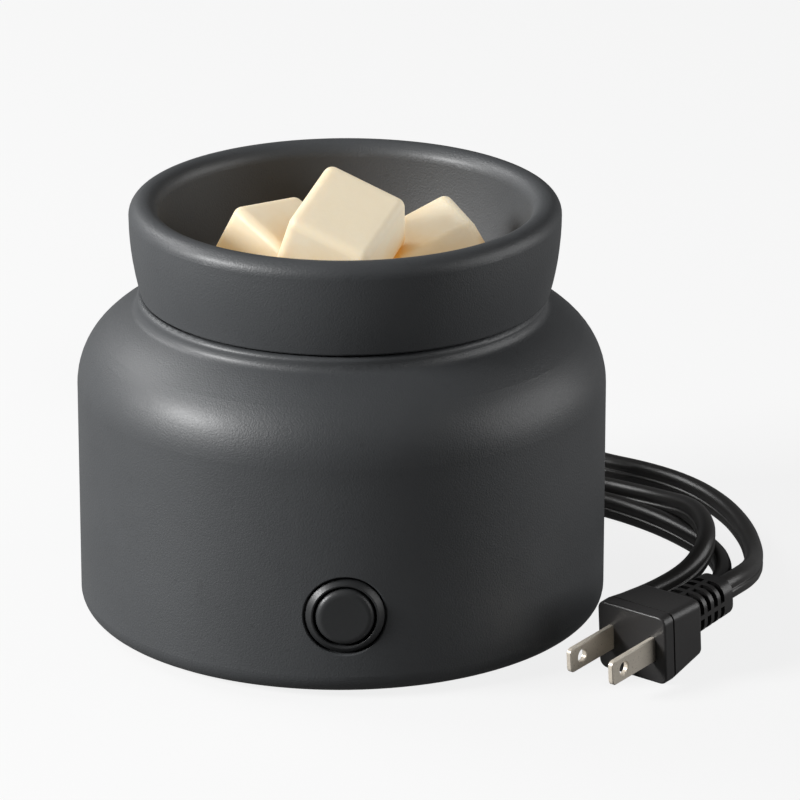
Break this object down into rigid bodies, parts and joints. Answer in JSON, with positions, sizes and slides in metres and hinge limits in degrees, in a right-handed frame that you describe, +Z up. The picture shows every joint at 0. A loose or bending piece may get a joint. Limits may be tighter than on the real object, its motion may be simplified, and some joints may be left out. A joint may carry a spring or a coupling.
{
  "type": "wax melt warmer",
  "caption": "Jar-shaped ceramic wax warmer: a lift-off dish of wax cubes stands on a hot plate in the base, with a push button in front and a mains cord with a two-blade plug behind.",
  "frame": {"origin": "on the table, under the middle of the round base", "axes": "+Z up out of the dish; the push button is on the -Y side and the cord leaves on the +Y side; +X is to the right when the button is in front"},
  "size_m": [0.1757, 0.2821, 0.1177],
  "materials": {
    "charcoal_ceramic": "matte",
    "wax": "satin",
    "black_plastic": "satin",
    "button_plastic": "satin",
    "hot_plate_metal": "satin",
    "steel": "satin",
    "spring_steel": "satin",
    "silicone": "matte",
    "element_ceramic": "matte",
    "insulation": "matte",
    "brass": "satin",
    "white_nylon": "satin",
    "cord_black": "satin",
    "gland_rubber": "matte",
    "plug_black": "satin",
    "nickel": "satin",
    "tie_plastic": "satin",
    "wire_red": "satin",
    "wire_white": "satin"
  },
  "bodies": {
    "base": {"backing_plate": "steel", "base_shell": "charcoal_ceramic", "bottom_cover": "black_plastic", "cord_coil": "cord_black", "cord_gland": "gland_rubber", "cord_lead": "cord_black", "cord_run": "cord_black", "cord_tail": "cord_black", "cord_tie": "tie_plastic", "cover_screws": "steel", "foot_1": "silicone", "foot_2": "silicone", "foot_3": "silicone", "foot_4": "silicone", "fuse_clip": "steel", "fuse_screw": "steel", "heater_cup": "steel", "heater_element": "element_ceramic", "hot_plate": "hot_plate_metal", "insulation_pad": "insulation", "pillar_1": "steel", "pillar_2": "steel", "pillar_3": "steel", "pillar_screws": "steel", "plate_gasket": "silicone", "plug_blade_left": "nickel", "plug_blade_right": "nickel", "plug_body": "plug_black", "plug_relief": "gland_rubber", "stud_nut": "steel", "stud_washer": "steel", "switch_bezel": "black_plastic", "switch_housing": "black_plastic", "switch_nut": "black_plastic", "switch_spring": "spring_steel", "switch_terminals": "brass", "terminal_block": "white_nylon", "terminal_screws": "brass", "thermal_fuse": "steel", "wire_fuse": "wire_red", "wire_live": "wire_red", "wire_neutral": "wire_white", "wire_switched": "wire_red"},
    "dish": {"wax_dish": "charcoal_ceramic", "wax_cube_left": "wax", "wax_cube_middle": "wax", "wax_cube_right": "wax"},
    "button": {"button_cap": "button_plastic", "switch_plunger": "black_plastic"}
  },
  "joints": [
    {"name": "dish_lift", "type": "slide", "parent": "base", "child": "dish", "axis": [0, 0, 1], "range_m": [0, 0.06]},
    {"name": "button_press", "type": "slide", "parent": "base", "child": "button", "axis": [0, 1, 0], "range_m": [0, 0.0025], "stiffness_N_per_m": 300, "springref_m": -0.002, "deforming": ["switch_spring"]}
  ]
}
